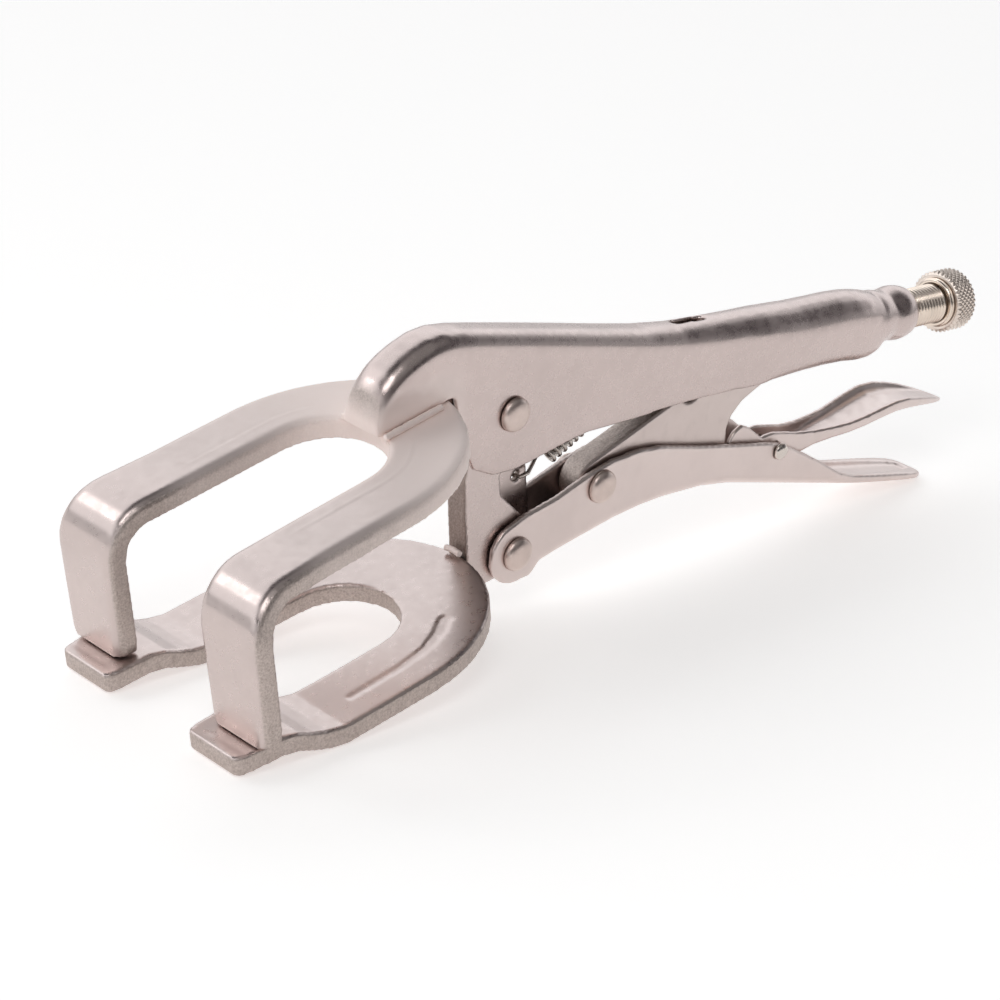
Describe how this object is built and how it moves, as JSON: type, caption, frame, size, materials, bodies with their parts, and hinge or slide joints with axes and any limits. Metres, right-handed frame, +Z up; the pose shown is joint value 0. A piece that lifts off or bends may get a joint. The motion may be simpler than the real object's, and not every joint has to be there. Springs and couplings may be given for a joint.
{
  "type": "locking pliers",
  "caption": "Locking welding clamp with forked U-shaped jaws, an over-centre toggle handle, a release lever, a tension spring and a knurled adjusting screw.",
  "frame": {"origin": "centre of the bounding box on the surface the closed tool lies on, resting on its lower jaw and the tip of its lower handle", "axes": "+X along the tool from the jaws to the adjusting knob, +Y to its left side, +Z up"},
  "size_m": [0.2791, 0.0718, 0.0796],
  "materials": {
    "satin_nickel": "satin nickel plate over stamped steel",
    "bright_nickel": "bright nickel plate",
    "spring_wire": "drawn spring wire"
  },
  "bodies": {
    "upper_handle": {"jaw_rivet": "satin_nickel", "upper_body": "satin_nickel", "upper_jaw": "satin_nickel", "upper_jaw_weld_left": "bright_nickel", "upper_jaw_weld_right": "bright_nickel", "tension_spring": "spring_wire"},
    "lower_jaw": {"lower_jaw_arm": "satin_nickel", "lower_jaw_plate": "satin_nickel", "lower_jaw_weld": "bright_nickel"},
    "lower_handle": {"lower_handle": "satin_nickel", "handle_rivet": "satin_nickel", "toggle_rivet": "satin_nickel", "release_lever_rivet": "bright_nickel"},
    "toggle_link": {"toggle_link": "satin_nickel"},
    "release_lever": {"release_lever": "satin_nickel"},
    "screw_slide": {"screw_tip": "bright_nickel"},
    "screw": {"adjusting_screw": "bright_nickel", "knob_collar": "bright_nickel", "adjusting_knob": "bright_nickel"}
  },
  "joints": [
    {"name": "jaw_pivot", "type": "hinge", "parent": "upper_handle", "child": "lower_jaw", "pos_m": [-0.03755, 0, 0.05561], "axis": [0, -1, 0], "range_deg": [0, 24], "deforming": ["tension_spring"]},
    {"name": "handle_pivot", "type": "hinge", "parent": "lower_jaw", "child": "lower_handle", "pos_m": [-0.03083, 0, 0.01697], "axis": [0, -1, 0], "range_deg": [-79.9, 0]},
    {"name": "toggle_pivot", "type": "hinge", "parent": "lower_handle", "child": "toggle_link", "pos_m": [-0.00304, 0, 0.02865], "axis": [0, -1, 0], "range_deg": [0, 76.5]},
    {"name": "release_lever_pivot", "type": "hinge", "parent": "lower_handle", "child": "release_lever", "pos_m": [0.06562, 0, 0.02291], "axis": [0, -1, 0], "range_deg": [-8, 4]},
    {"name": "screw_advance", "type": "slide", "parent": "upper_handle", "child": "screw_slide", "axis": [0.9996, 0, -0.0265], "range_m": [-0.00381, 0.01016]},
    {"name": "screw_turn", "type": "hinge", "parent": "screw_slide", "child": "screw", "pos_m": [0.11664, 0, 0.05141], "axis": [0.9996, 0, -0.0265], "range_deg": [-1080, 2880]}
  ],
  "couplings": [
    {"joint": "handle_pivot", "follows": "jaw_pivot", "ratio": -3.3092},
    {"joint": "toggle_pivot", "follows": "jaw_pivot", "ratio": 3.167},
    {"joint": "screw_turn", "follows": "screw_advance", "rad_per_m": 4947.4}
  ]
}
